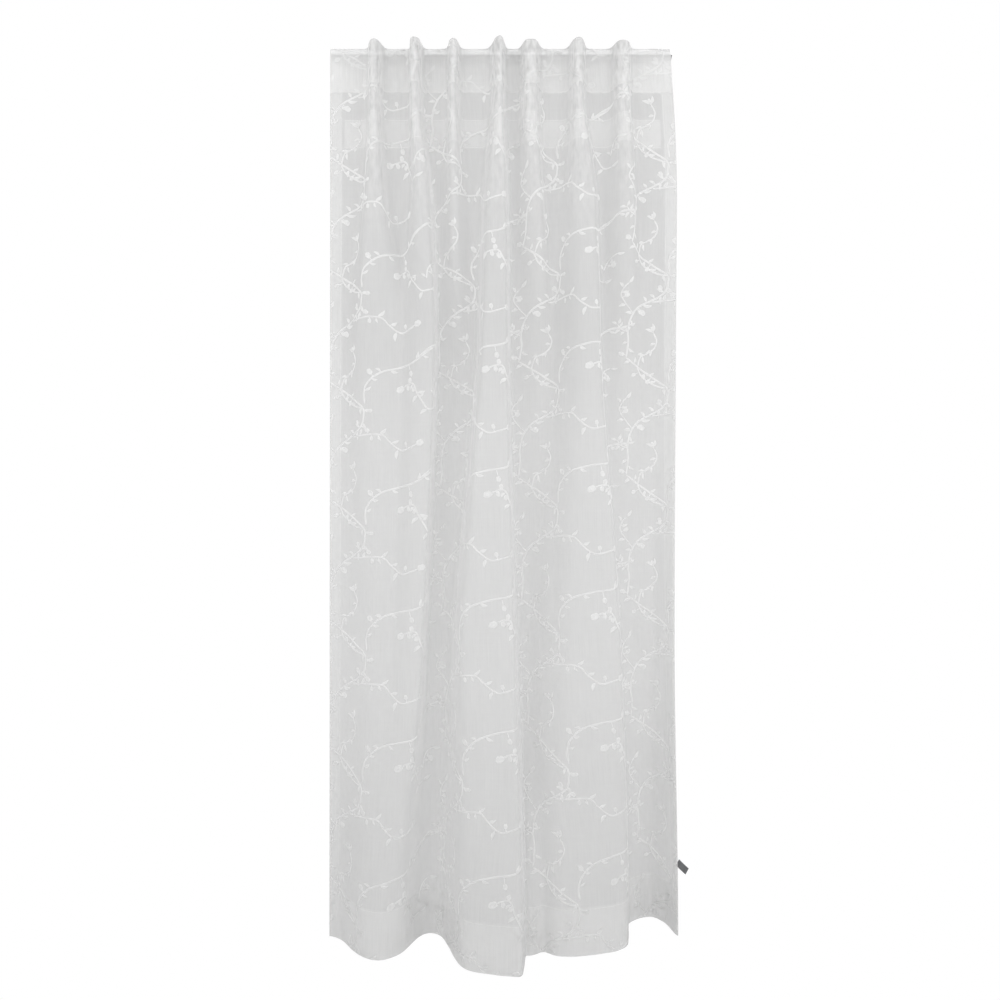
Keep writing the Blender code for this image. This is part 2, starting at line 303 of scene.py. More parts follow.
def relief(u, v):
    """How far the cloth stands off its smooth folds, in metres, at flat distances u and v."""
    calm = np.clip(v / 0.16, 0, 1) ** 2
    slow = 0.6 + 0.4 * rolling(SPAN_WAVES, v, u)
    height = 0.0022 * rolling(SOFT_WAVES, u, v) * slow * calm
    at_stitch = hump(v - POCKET_STITCH, 0.016)
    at_hem = hump(v - HEM_TOP, 0.012)
    in_pocket = hump(v - 0.07, 0.05) * np.clip(v / 0.03, 0, 1)
    pucker = rolling(PUCKER_WAVES, u, v, 0.5)
    height += 0.0012 * pucker * (at_stitch + 0.6 * at_hem + 0.9 * in_pocket)
    height -= 0.0006 * hump(v - POCKET_STITCH, 0.0018)
    height -= 0.0005 * hump(v - HEM_TOP - SEAM_INSET, 0.0020)
    for _, u0, v0, u1, v1, rise, width in CREASES:
        du, dv = u1 - u0, v1 - v0
        length = math.hypot(du, dv)
        t = np.clip(((u - u0) * du + (v - v0) * dv) / length**2, 0, 1)
        off = np.hypot(u - u0 - t * du, v - v0 - t * dv)
        height += rise * hump(off, width) * np.sin(math.pi * t) ** 0.6
    return height


def front_grid(us, vs):
    """The front of the cloth at flat distances us across and vs down, and its normals."""
    grid = np.empty((len(vs), len(us), 3))
    for r, v in enumerate(vs):
        grid[r, :, 0], grid[r, :, 1] = hang(v, us)
        grid[r, :, 2] = -v
    normal = grid_normals(grid)
    height = relief(us[None, :], vs[:, None])
    edge = np.clip(np.minimum(us, FLAT_WIDTH - us) / 0.01, 0.2, 1)[None, :]
    return grid + normal * (height * edge)[:, :, None], normal


def make_mesh(name, points, quads, uvs):
    """A mesh from arrays of points and quads, with one UV for each point, in metres."""
    mesh = bpy.data.meshes.new(name)
    mesh.vertices.add(len(points))
    mesh.vertices.foreach_set("co", np.asarray(points, np.float32).ravel())
    quads = np.asarray(quads, np.int32)
    mesh.loops.add(quads.size)
    mesh.loops.foreach_set("vertex_index", quads.ravel())
    mesh.polygons.add(len(quads))
    mesh.polygons.foreach_set("loop_start", np.arange(len(quads), dtype=np.int32) * 4)
    mesh.polygons.foreach_set("use_smooth", np.full(len(quads), True))
    layer = mesh.uv_layers.new(name="flat")
    layer.data.foreach_set("uv", np.asarray(uvs, np.float32)[quads.ravel()].ravel())
    mesh.update(calc_edges=True)
    mesh.validate()
    piece = bpy.data.objects.new(name, mesh)
    bpy.context.scene.collection.objects.link(piece)
    return piece


STEEP_FROM = 0.55      # cloth that faces the front less than this counts as steep
MOST_COVER_AND_LIGHT = 4.5      # layers of cloth that the most raised cover counts as, painted light included


def mark_cover_and_painted_light(piece, base_cover_and_light):
    """Marks how much more the cloth covers, and where it is crushed: on steep folds as seen
    edge-on, on pleats, and in the pocket and hem, where part of it is painted light on layers in
    shade.
    """
    mesh = piece.data
    spot = np.empty(3 * len(mesh.vertices), np.float32)
    normal = spot.copy()
    mesh.vertices.foreach_get("co", spot)
    mesh.vertices.foreach_get("normal", normal)
    spot, facing = spot.reshape(-1, 3), np.abs(normal.reshape(-1, 3)[:, 1])
    out, below = -spot[:, 1], -spot[:, 2]
    steep = np.clip((STEEP_FROM - facing) / STEEP_FROM, 0, 1)
    crest = np.clip((out - 0.020) / 0.030, 0, 1) * np.clip((0.55 - below) / 0.45, 0, 1)
    in_pocket = below < POCKET_END
    behind = spot[:, 1] > 0.010
    # In the pocket, on its back layer and at the hem the extra cover is partly painted light: it
    # lifts layers that lie in shade behind the front.
    cover_and_light = base_cover_and_light * (1 + 1.3 * steep**1.5)
    cover_and_light *= 1 + 0.34 * crest + 0.70 * in_pocket * ~behind + 1.80 * in_pocket * behind
    cover_and_light *= 1 + 0.22 * (below > HEM_TOP)
    for name, value in (("cover_and_light", np.clip(cover_and_light, 1, MOST_COVER_AND_LIGHT)),
                        ("crush", np.clip(0.9 * crest + 0.08 * in_pocket, 0, 1))):
        layer = mesh.attributes.new(name, "FLOAT", "POINT")
        layer.data.foreach_set("value", value.astype(np.float32))


def grid_quads(rows, cols, start=0):
    """The quads of a grid of points, whose first point has the number start."""
    a = (np.arange(rows - 1)[:, None] * cols + np.arange(cols - 1)[None, :]).ravel() + start
    return np.stack([a, a + cols, a + cols + 1, a + 1], 1)


def cloth_columns(count):
    """Flat distances across, closer together where the folds turn."""
    fine = np.linspace(0, FLAT_WIDTH, 1371)    # a millimetre apart
    weight = np.zeros(len(fine))
    for below, share in ((0.115, 0.55), (0.80, 0.20), (DROP, 0.25)):
        x, y = hang(below, fine)
        turn = np.abs(np.gradient(np.unwrap(np.arctan2(np.gradient(y), np.gradient(x)))))
        turn = np.convolve(turn, np.ones(15) / 15, "same")
        weight += share * turn / turn.sum()
    weight = np.cumsum(0.35 * weight + 0.65 / len(fine))
    weight = (weight - weight[0]) / (weight[-1] - weight[0])
    return np.interp(np.linspace(0, 1, count), weight, fine)


def pocket_grid(us):
    """The rod pocket behind the front: up the back, over the rod and down to the front's top."""
    x, y = hang(0.0, us)
    slope = np.gradient(y) / np.gradient(x)
    lean_back = 1 / np.sqrt(1 + slope**2)
    seam_x = x - slope * lean_back * SEAM_GAP
    seam_y = y + lean_back * SEAM_GAP
    bulge = -y - CLEAR
    behind = CLEAR + BULGE_BEHIND * bulge
    top = CLEAR + BULGE_TOP * bulge
    rows, run = [], []
    for below in np.linspace(POCKET_END, 0.0, 26)[:-1]:
        share = between((0.0, 0.018, 0.036, 0.058, 0.082, 0.103, POCKET_END),
                        (1.0, 1.0, 0.93, 0.66, 0.30, 0.06, 0.0), below)
        height = relief(us + BACK_SHIFT, np.full(len(us), below))
        height = height * 0.8 * np.clip(below / 0.05, 0, 1)
        row_y = seam_y + (behind - seam_y) * share + np.abs(height)
        rows.append(np.stack([seam_x + (x - seam_x) * share, row_y, np.full(len(us), -below)], 1))
        run.append(below + OVER_ROD)
    middle = (behind + y) / 2
    reach = (behind - y) / 2
    for turn in np.linspace(180, 0, 21)[:-1]:
        angle = math.radians(turn)
        rows.append(np.stack([x, middle - reach * math.cos(angle), top * math.sin(angle)], 1))
        run.append(OVER_ROD * turn / 180)
    return np.asarray(rows), -np.asarray(run)


def paired(first, second):
    """Two arrays spread over one grid, as a row of two values for each of its points."""
    return np.stack(np.broadcast_arrays(first, second), 2).reshape(-1, 2)


columns = cloth_columns(300)
drops = np.concatenate((np.linspace(0, 0.30, 62), np.linspace(0.30, 2.27, 196)[1:],
                        np.linspace(2.27, DROP, 26)[1:]))
front = front_grid(columns, drops)[0]
pocket, pocket_run = pocket_grid(columns)
sheet_grid = np.concatenate((pocket, front))
sheet_v = np.concatenate((pocket_run, drops))
curtain = make_mesh("voile_sheet", sheet_grid.reshape(-1, 3),
                    grid_quads(*sheet_grid.shape[:2]),
                    paired(columns[None, :], -sheet_v[:, None]))


def span(low, high, values):
    """The values between low and high, with both of these."""
    return np.unique(np.concatenate(([low, high], values[(values > low) & (values < high)])))


def layer_behind(name, parts):
    """Thin layers of cloth behind the front, each over a span across and down, at a distance."""
    points, quads, uvs = [], [], []
    count = 0
    for low_u, high_u, low_v, high_v, behind in parts:
        us = span(low_u, high_u, columns)
        vs = span(low_v, high_v, drops)
        grid, normal = front_grid(us, vs)
        grid = grid - normal * behind
        points.append(grid.reshape(-1, 3))
        uvs.append(paired(us[None, :], -vs[:, None]))
        quads.append(grid_quads(len(vs), len(us), count))
        count += points[-1].shape[0]
    return make_mesh(name, np.concatenate(points), np.concatenate(quads), np.concatenate(uvs))


hems = layer_behind("voile_hems", (
    # left and right ends across, upper and lower ends down, distance behind the front
    (EDGE_INSET, SIDE_HEM, SIDE_TOP, HEM_TOP - 0.002, 0.0008),
    (FLAT_WIDTH - SIDE_HEM, FLAT_WIDTH - EDGE_INSET, SIDE_TOP, HEM_TOP - 0.002, 0.0008),
    (EDGE_INSET, FLAT_WIDTH - EDGE_INSET, HEM_TOP, DROP - EDGE_INSET, 0.0010),
))
band = layer_behind("voile_band", (
    (BAND_INSET, FLAT_WIDTH - BAND_INSET, BAND_TOP, BAND_LOW, 0.0014),
))


# The embroidery: one repeat of thin vines with leaves and buds, charted in shares of the
# repeat, right and down. The repeat is stepped across and down the whole cloth.
REPEAT_WIDE = 0.41
FIRST_REPEAT = -0.02
ROW_DROPS = (
    # repeats down, below the rod, as the cloth's own pull spaces them
    (-1.67, -0.300), (-0.67, 0.004), (0.33, 0.311), (1.33, 0.618), (2.33, 0.925),
    (3.33, 1.250), (4.33, 1.588), (5.33, 1.939), (6.33, 2.300), (7.33, 2.670),
)
ROW_SKEW = ((0.00, 0.006), (0.20, 0.000), (0.60, -0.042), (1.03, -0.058), (1.37, -0.060))

VINES = (
    # name, width in mm, points (right, down)
    ("serpent", 3.8, (0.037, 0.215, 0.134, 0.298, 0.244, 0.392, 0.329, 0.475, 0.335, 0.545,
                      0.320, 0.610, 0.273, 0.663, 0.134, 0.756, 0.073, 0.850, 0.049, 0.965,
                      0.052, 1.090, 0.037, 1.215)),
    ("lens", 3.2, (0.120, 0.288, 0.160, 0.375, 0.235, 0.440, 0.325, 0.480)),
    ("arc", 3.8, (0.345, 0.440, 0.340, 0.350, 0.366, 0.267, 0.450, 0.183, 0.580, 0.145,
                  0.707, 0.121, 0.840, 0.030, 0.930, -0.040, 1.040, -0.050)),
    ("arc_mate", 2.8, (0.720, 0.118, 0.800, 0.040, 0.860, 0.005, 0.935, -0.036)),
    ("hook", 3.0, (0.240, -0.020, 0.262, 0.050, 0.245, 0.120, 0.200, 0.165, 0.150, 0.200,
                   0.128, 0.292)),
    ("sprig", 3.2, (0.600, 0.328, 0.645, 0.308, 0.695, 0.312, 0.724, 0.390, 0.760, 0.465,
                    0.800, 0.535, 0.860, 0.537)),
    ("twig", 3.2, (0.230, 0.708, 0.330, 0.700, 0.410, 0.698, 0.468, 0.712, 0.510, 0.767,
                   0.560, 0.822, 0.605, 0.846, 0.663, 0.833, 0.720, 0.812)),
    ("shoot", 2.6, (0.090, 0.830, 0.030, 0.745, -0.008, 0.665, 0.010, 0.600, 0.040, 0.560)),
    ("spray", 2.6, (0.850, 0.440, 0.868, 0.370, 0.900, 0.325, 0.935, 0.305)),
    ("tendril", 2.4, (0.045, 0.985, 0.005, 0.965, -0.020, 0.925)),
)

LEAVES = (
    # vine, share along it, angle from its run in degrees, leaf length and width in mm
    ("serpent", 0.04, 125, 20, 8), ("serpent", 0.07, -110, 17, 7), ("serpent", 0.42, -60, 18, 8),
    ("serpent", 0.455, 70, 20, 9), ("serpent", 0.48, -50, 20, 8), ("serpent", 0.52, 60, 18, 7),
    ("serpent", 0.625, -150, 25, 8), ("serpent", 0.665, -95, 16, 7),
    ("serpent", 0.80, -120, 18, 7), ("serpent", 0.90, 55, 17, 7), ("serpent", 0.94, -70, 18, 7),
    ("arc", 0.30, -140, 18, 7), ("arc", 0.36, 35, 20, 8), ("arc", 0.86, 40, 18, 7),
    ("arc", 0.10, 50, 18, 7), ("hook", 0.00, 140, 22, 8), ("hook", 0.00, -150, 20, 8),
    ("hook", 0.66, 165, 18, 7), ("hook", 0.68, 20, 17, 7), ("hook", 0.70, -70, 18, 7),
    ("hook", 0.45, -40, 14, 6),
    ("sprig", 0.47, -60, 23, 9), ("sprig", 0.52, 75, 23, 9), ("sprig", 0.60, -110, 16, 7),
    ("sprig", 0.86, 125, 22, 8), ("sprig", 1.00, -15, 24, 8),
    ("twig", 0.40, -50, 22, 8), ("twig", 0.70, 80, 23, 9), ("twig", 0.38, 60, 14, 6),
    ("shoot", 1.00, -10, 24, 9), ("shoot", 0.70, 60, 17, 7),
    ("spray", 1.00, 20, 22, 7), ("spray", 0.72, 110, 18, 7), ("spray", 0.35, 80, 14, 6),
    ("tendril", 1.00, -40, 17, 7), ("tendril", 1.00, 50, 16, 7), ("tendril", 0.70, 110, 16, 7),
    ("tendril", 0.60, -90, 16, 7), ("tendril", 0.30, 120, 16, 7), ("tendril", 0.20, -60, 12, 6),
    ("serpent", 0.16, 65, 17, 8), ("serpent", 0.19, -60, 15, 7), ("serpent", 0.315, 55, 19, 8),
    ("serpent", 0.345, -75, 17, 8), ("serpent", 0.585, 80, 17, 8), ("serpent", 0.72, 60, 19, 8),
    ("serpent", 0.76, -50, 15, 7), ("arc", 0.20, 45, 16, 7), ("arc", 0.60, -45, 19, 8),
    ("arc", 0.66, 50, 17, 7), ("arc", 0.95, -60, 17, 7), ("twig", 0.14, -55, 17, 8),
    ("twig", 0.58, -60, 18, 8), ("sprig", 0.30, 70, 15, 7), ("shoot", 0.35, -65, 17, 8),
    ("shoot", 0.82, -70, 16, 7), ("spray", 0.10, -70, 15, 7), ("hook", 0.25, 60, 15, 7),
    ("lens", 0.50, -30, 20, 8),
)

BUDS = (
    # vine, share along it, angle from its run, distance off it and size in mm
    ("sprig", 0.00, 180, 7, 21), ("sprig", 0.14, 90, 9, 13), ("sprig", 0.22, -90, 8, 14),
    ("sprig", 0.34, 40, 10, 13), ("twig", 1.00, 0, 9, 20), ("twig", 0.30, 90, 11, 11),
    ("arc", 0.225, -90, 17, 16), ("serpent", 0.46, 100, 18, 13), ("serpent", 0.44, -95, 22, 14),
    ("serpent", 0.655, -100, 19, 17), ("serpent", 0.985, 95, 15, 15),
    ("hook", 0.00, -175, 12, 10), ("spray", 0.66, 100, 20, 17), ("serpent", 0.35, -90, 18, 12),
    ("serpent", 0.21, 95, 17, 13), ("arc", 0.52, 85, 26, 14), ("twig", 0.84, -85, 15, 12),
    ("shoot", 0.55, 90, 16, 14), ("lens", 0.18, 95, 20, 13),
)


def heading(angle):
    """The direction of an angle, with length one."""
    return np.array([math.cos(angle), math.sin(angle)])


def smooth_path(points, step):
    """A smooth open curve through points, as points in even steps."""
    points = np.asarray(points, float).reshape(-1, 2)
    reach = np.concatenate(([0], np.cumsum(np.sqrt(np.hypot(*np.diff(points, axis=0).T)))))
    fine = np.linspace(0, reach[-1], 40 * len(points))
    ends = np.vstack((2 * points[0] - points[1], points, 2 * points[-1] - points[-2]))
    where = np.clip(np.searchsorted(reach, fine, side="right") - 1, 0, len(points) - 2)
    t = ((fine - reach[where]) / (reach[where + 1] - reach[where]))[:, None]
    a, b, c, d = (ends[where + k] for k in range(4))
    curve = 0.5 * (2 * b + (c - a) * t + (2 * a - 5 * b + 4 * c - d) * t**2
                   + (3 * b - a - 3 * c + d) * t**3)
    run = along(*curve.T)
    count = max(4, int(round(run[-1] / step)) + 1)
    even = np.linspace(0, run[-1], count)
    return np.stack([np.interp(even, run, curve[:, k]) for k in range(2)], 1)


def place(right, down):
    """Flat distances across and down of a point charted in repeats."""
    u = FIRST_REPEAT + REPEAT_WIDE * np.asarray(right)
    rows = np.asarray(ROW_DROPS)
    v = np.interp(down, rows[:, 0], rows[:, 1])
    skew = np.asarray(ROW_SKEW)
    return np.stack([u, v + np.interp(u, skew[:, 0], skew[:, 1])], -1)


def lay_on(uv_points, stand):
    """Points of the cloth at flat distances uv, standing off it on its right side."""
    u = np.clip(uv_points[:, 0], 0, FLAT_WIDTH - 1e-6)
    v = np.clip(uv_points[:, 1], sheet_v[0], sheet_v[-1] - 1e-6)
    c = np.clip(np.searchsorted(columns, u, side="right") - 1, 0, len(columns) - 2)
    r = np.clip(np.searchsorted(sheet_v, v, side="right") - 1, 0, len(sheet_v) - 2)
    s = ((u - columns[c]) / (columns[c + 1] - columns[c]))[:, None]
    t = ((v - sheet_v[r]) / (sheet_v[r + 1] - sheet_v[r]))[:, None]
    spots = []
    for field in (sheet_grid, sheet_normal):
        top = field[r, c] * (1 - s) + field[r, c + 1] * s
        low = field[r + 1, c] * (1 - s) + field[r + 1, c + 1] * s
        spots.append(top * (1 - t) + low * t)
    return spots[0] + spots[1] * np.asarray(stand)[:, None]


# The hem's turned-up layer, so that the embroidery goes on up behind it.
turned = drops[drops > HEM_TOP + 0.004]
turned_grid, turned_normal = front_grid(columns, turned)
turned_grid = turned_grid - turned_normal * HEM_BACK
sheet_grid = np.concatenate((sheet_grid, turned_grid[::-1][1:]))
sheet_v = np.concatenate((sheet_v, 2 * DROP - turned[::-1][1:]))
sheet_normal = grid_normals(sheet_grid)


# Heights of raised thread and sizes of single stitches.
STEM_HIGH = 0.0008
STEM_FULLER = 1.42     # the stems' drawn width against their charted one
LEAF_HIGH = 0.0007
STALK_LONG, STALK_WIDE, STALK_HIGH = 0.0035, 0.0018, 0.0005
PATH_STEP = 0.0034
STITCH_PITCH = 0.0030
STITCH_SHARE, STITCH_WIDE, STITCH_HIGH = 0.78, 0.00055, 0.00035


class Stitching:
    """Raised thread shapes gathered into one mesh."""

    def __init__(self):
        self.points, self.quads, self.uvs, self.count = [], [], [], 0

    def add(self, flat, stand, own):
        """A grid of flat points with their heights, and its own thread coordinates."""
        rows, cols = flat.shape[:2]
        flat = flat.reshape(-1, 2)
        stand = np.broadcast_to(stand, (rows, cols)).ravel()
        inside = ((flat[:, 0] > SIDE_FREE) & (flat[:, 0] < FLAT_WIDTH - SIDE_FREE)
                  & (flat[:, 1] > sheet_v[0] + 0.001) & (flat[:, 1] < sheet_v[-1])
                  & (abs(flat[:, 1] - DROP) > FOOT_FREE))
        quads = grid_quads(rows, cols)
        quads = quads[inside[quads].all(1)]
        if not len(quads):
            return
        used = np.unique(quads)
        index = np.zeros(len(flat), int)
        index[used] = np.arange(len(used))
        self.points.append(lay_on(flat[used], stand[used]))
        self.uvs.append(own[used])
        self.quads.append(index[quads] + self.count)
        self.count += len(used)

    def ribbon(self, path, width, high):
        """A satin-stitched stem along a path, rounded across."""
        along_path = np.gradient(path, axis=0)
        along_path /= np.maximum(np.linalg.norm(along_path, axis=1, keepdims=True), 1e-9)
        side = np.stack([-along_path[:, 1], along_path[:, 0]], 1)
        run = along(*path.T)
        full = width / 2 * np.clip(np.minimum(run, run[-1] - run) / (1.6 * width) + 0.35, 0, 1)
        across = np.array([-1.0, -0.6, 0.0, 0.6, 1.0])
        lift = np.array([0.12, 0.80, 1.0, 0.80, 0.12]) * high
        flat = path[:, None] + side[:, None] * (full[:, None] * across[None, :])[:, :, None]
        self.add(flat, lift, paired(run[:, None], full[:, None] * across))

    def leaf(self, base, angle, length, width, high):
        """A pointed leaf, widest just before its middle, with a trough along it."""
        t = np.linspace(0, 1, 8)
        half = np.maximum(width / 2 * np.sin(math.pi * t**0.8) ** 0.8, 0.0002)
        across = np.array([-1.0, -0.55, 0.0, 0.55, 1.0])
        lift = np.array([0.10, 0.95, 0.62, 0.95, 0.10])
        run = heading(angle)
        side = np.array([-run[1], run[0]])
        curve = 0.10 * length * np.sin(math.pi * t)
        flat = (base + run * (t * length)[:, None] + side * curve[:, None])[:, None] \
            + side * (half[:, None] * across)[:, :, None]
        stand = high * lift[None, :] * np.clip(half / (width * 0.3), 0.15, 1)[:, None]
        self.add(flat, stand, paired((t * length)[:, None], half[:, None] * across))

    def bud(self, centre, size, angle, high):
        """A bud: a padded round with a groove of lower stitches round its middle."""
        turns = np.linspace(0, 2 * math.pi, 15)
        wide = 1 + 0.16 * np.cos(2 * (turns - angle))
        scallop = 1 + 0.07 * np.cos(5 * turns)
        rings = np.array([0.04, 0.22, 0.38, 0.50, 0.66, 0.86, 1.0])
        lift = np.array([1.0, 0.95, 0.45, 0.40, 0.95, 0.80, 0.10])
        flat = centre + size / 2 * (rings[:, None] * wide * scallop)[:, :, None] * np.stack(
            [np.cos(turns), np.sin(turns)], 1)
        own = paired(turns[None, :] * 0.004, rings[:, None] * size / 2)
        self.add(flat, lift[:, None] * high, own)

    def dash(self, start, end, width, high):
        """One straight stitch."""
        path = np.linspace(start, end, 4)
        side = np.array([start[1] - end[1], end[0] - start[0]])
        side = side / np.linalg.norm(side)
        full = width / 2 * np.array([0.5, 1, 1, 0.5])
        across = np.array([-1.0, 0.0, 1.0])
        flat = path[:, None] + side * (full[:, None] * across)[:, :, None]
        stand = high * np.array([0.3, 1, 1, 0.3])[:, None] * np.array([0.25, 1.0, 0.25])
        own = np.zeros((12, 2))
        own[:, 0] = np.repeat(np.linspace(0, 0.002, 4), 3)
        self.add(flat, stand, own)

    def build(self, name):
        """The mesh of all that was added."""
        return make_mesh(name, np.concatenate(self.points), np.concatenate(self.quads),
                         np.concatenate(self.uvs))


def spot_on(path, share):
    """The point a share along a vine, and the angle at which the vine runs there."""
    k = min(int(share * (len(path) - 1)), len(path) - 2)
    run = path[k + 1] - path[k]
    return path[k] if share < 1 else path[-1], math.atan2(run[1], run[0])


def embroider(stitching, right, down):
    """One repeat of the embroidery."""
    shift = rng.normal(0, 0.003, 2)
    paths = {}
    for name, width, points in VINES:
        chart = np.asarray(points).reshape(-1, 2) + shift + (right, down)
        paths[name] = smooth_path(place(chart[:, 0], chart[:, 1]), PATH_STEP)
        stitching.ribbon(paths[name], STEM_FULLER * width / 1000, STEM_HIGH)
    for name, share, turn, length, width in LEAVES:
        base, angle = spot_on(paths[name], share)
        angle += math.radians(turn + rng.normal(0, 5))
        if abs(turn) > 25:
            stalk = base + STALK_LONG * heading(angle)
            stitching.dash(base, stalk, STALK_WIDE, STALK_HIGH)
            base = stalk
        grow = rng.uniform(0.92, 1.12)
        stitching.leaf(base, angle, length * grow / 1000, width * grow / 1000, LEAF_HIGH)
    for name, share, turn, reach, size in BUDS:
        base, angle = spot_on(paths[name], share)
        angle += math.radians(turn)
        toward = heading(angle)
        centre = base + toward * reach / 1000
        if reach > 9:
            stitching.dash(base, centre - toward * size * 0.4 / 1000, STALK_WIDE, STALK_HIGH)
        stitching.bud(centre, size / 1000, angle, STEM_HIGH)


embroidery = []
for low, high in ((-2, 1), (1, 3), (3, 5), (5, 8)):
    stitching = Stitching()
    for down in range(low, high):
        for right in range(-1, 5):
            embroider(stitching, right, down)
    embroidery.append(stitching.build("embroidery_%d" % (len(embroidery) + 1)))


def stitch_line(stitching, start, end):
    """A straight row of sewing stitches between two flat points."""
    start, end = np.asarray(start), np.asarray(end)
    length = np.linalg.norm(end - start)
    toward = (end - start) / length
    for k in range(int(length / STITCH_PITCH)):
        spot = start + toward * (k * STITCH_PITCH + rng.uniform(-0.0001, 0.0001))
        tip = spot + toward * STITCH_PITCH * STITCH_SHARE
        stitching.dash(spot, tip, STITCH_WIDE, STITCH_HIGH)


seams = Stitching()
for left, right, below in (
    # the pocket's seam, the bottom hem's and the band's two
    (SEAM_END, FLAT_WIDTH - SEAM_END, POCKET_STITCH),
    (SEAM_END, FLAT_WIDTH - SEAM_END, HEM_TOP + SEAM_INSET),
    (BAND_INSET, FLAT_WIDTH - BAND_INSET, BAND_TOP + SEAM_INSET),
    (BAND_INSET, FLAT_WIDTH - BAND_INSET, BAND_LOW - SEAM_INSET),
):
    stitch_line(seams, (left, below), (right, below))
for across in (SIDE_HEM - SEAM_INSET, FLAT_WIDTH - SIDE_HEM + SEAM_INSET):
    stitch_line(seams, (across, SIDE_TOP), (across, HEM_TOP))
seam_threads = seams.build("seam_threads")


def make_label():
    """The small plain woven label, folded at its free end, with its selvedges."""
    x, y = hang(LABEL_DROP, np.array([FLAT_WIDTH - LABEL_INSET, FLAT_WIDTH]))
    run = np.array([x[1] - x[0], y[1] - y[0], 0.0])
    run /= np.linalg.norm(run)
    back = np.array([-run[1], run[0], 0.0])
    start = np.array([x[0], y[0], -LABEL_DROP]) + back * 0.0023
    tilt = math.radians(LABEL_TILT)
    along_label = run * math.cos(tilt) + np.array([0.0, 0.0, -math.sin(tilt)])
    up_label = run * math.sin(tilt) + np.array([0.0, 0.0, math.cos(tilt)])
    length = np.concatenate((np.linspace(0, LABEL_LONG - 0.0012, 26),
                             LABEL_LONG - 0.0006 + 0.0006 * np.sin(np.linspace(-1.2, 1.57, 5))))
    height = np.linspace(0, 1, 15) * LABEL_WIDE
    rise, far = np.meshgrid(height, length, indexing="ij")
    bend = 0.10 * np.clip(far - LABEL_INSET * 1.4, 0, None) ** 2 / LABEL_LONG
    ripple = 0.00012 * np.sin(far * 900) * np.sin(rise * 500)
    edge = np.minimum(rise, LABEL_WIDE - rise)
    thick = LABEL_THICK * np.clip(edge / 0.0006, 0.35, 1)
    thick = thick * np.clip((LABEL_LONG - far) / 0.0007, 0.1, 1) ** 0.5
    middle = start + along_label * far[:, :, None] + up_label * rise[:, :, None] \
        + back * (bend + ripple + 0.0006)[:, :, None]
    faces = [middle - back * (thick / 2)[:, :, None], middle + back * (thick / 2)[:, :, None]]
    rows, cols = far.shape
    points = np.concatenate([face.reshape(-1, 3) for face in faces])
    uvs = np.tile(np.stack([far, rise], 2).reshape(-1, 2), (2, 1))
    quads = [grid_quads(rows, cols), grid_quads(rows, cols, rows * cols)[:, ::-1]]
    # The rim that joins the two faces, round all four sides.
    rim = np.concatenate((np.arange(cols), np.arange(1, rows) * cols + cols - 1,
                          (rows - 1) * cols + np.arange(cols - 2, -1, -1),
                          np.arange(rows - 2, 0, -1) * cols))
    after = np.roll(rim, -1)
    quads.append(np.stack([rim, after, after + rows * cols, rim + rows * cols], 1))
    return make_mesh("label_tape", points, np.concatenate(quads), uvs)


label = make_label()


# Materials.

def new_material(name, color, rough):
    """A material of one colour and roughness, with its node tree and its shader."""
    material = bpy.data.materials.new(name)
    material.use_nodes = True
    shader = material.node_tree.nodes["Principled BSDF"]
    shader.inputs["Base Color"].default_value = (*color, 1)
    shader.inputs["Roughness"].default_value = rough
    return material, material.node_tree, shader


def node(tree, kind, **values):
    """A new node. A key such as i2 is an input's number. A socket is linked, the rest is set."""
    made = tree.nodes.new(kind)
    for key, value in values.items():
        numbered = key[0] == "i" and key[1:].isdigit()
        socket = int(key[1:]) if numbered else key
        if isinstance(value, bpy.types.NodeSocket):
            tree.links.new(value, made.inputs[socket])
        elif numbered or key in made.inputs:
            made.inputs[socket].default_value = value
        else:
            setattr(made, key, value)
    return made


def math_node(tree, operation, first, second=0.0, clamp=False):
    """One sum, product or other operation on one or two values."""
    return node(tree, "ShaderNodeMath", operation=operation, use_clamp=clamp,
                i0=first, i1=second).outputs[0]


def weighted(tree, start, *terms):
    """A start value plus each term's value times its weight."""
    total = start
    for value, weight in terms:
        total = math_node(tree, "ADD", math_node(tree, "MULTIPLY", value, weight), total)
    return total


def ranged(tree, value, low, high, start=0.0, end=1.0):
    """A value that runs from start to end, laid on the range from low to high."""
    limits = {"From Min": start, "From Max": end, "To Min": low, "To Max": high}
    return node(tree, "ShaderNodeMapRange", Value=value, **limits).outputs[0]


def blend(tree, factor, first, second):
    """The colour between first and second, each a colour or a socket."""
    return node(tree, "ShaderNodeMix", data_type="RGBA", Factor=factor,
                i6=first, i7=second).outputs[2]


def stretched_noise(tree, vector, across, down, detail=2.0):
    """Noise over the flat cloth, in cycles a metre across and down."""
    mapped = node(tree, "ShaderNodeMapping", Vector=vector, Scale=(across, down, 1.0))
    made = node(tree, "ShaderNodeTexNoise", Vector=mapped.outputs[0], Scale=1.0, Detail=detail)
    return made.outputs["Fac"]


def ridges(tree, run, pitch):
    """Rounded ridges along a run, one for each pitch, as of threads side by side."""
    turn = math_node(tree, "MULTIPLY", run, math.pi / pitch)
    return math_node(tree, "ABSOLUTE", math_node(tree, "SINE", turn))


def weave(tree, vector, pitch):
    """Plain weave over the flat cloth: high on each thread, with the given pitch."""
    parts = node(tree, "ShaderNodeSeparateXYZ", Vector=vector).outputs
    return math_node(tree, "MAXIMUM", ridges(tree, parts[0], pitch), ridges(tree, parts[1], pitch))


def surface(tree, shader, factor, dark, light, height, strength, depth):
    """Gives a shader a tone from dark to light, and a fine bump of some strength and depth."""
    tone = blend(tree, factor, (*dark, 1), (*light, 1))
    tree.links.new(tone, shader.inputs["Base Color"])
    bump = node(tree, "ShaderNodeBump", Strength=strength, Distance=depth, Height=height)
    tree.links.new(bump.outputs[0], shader.inputs["Normal"])


THREAD_PITCH = 0.0005
MEAN_DENSITY = 0.19    # what the slubs, clouds and threads add to the voile's cover on average


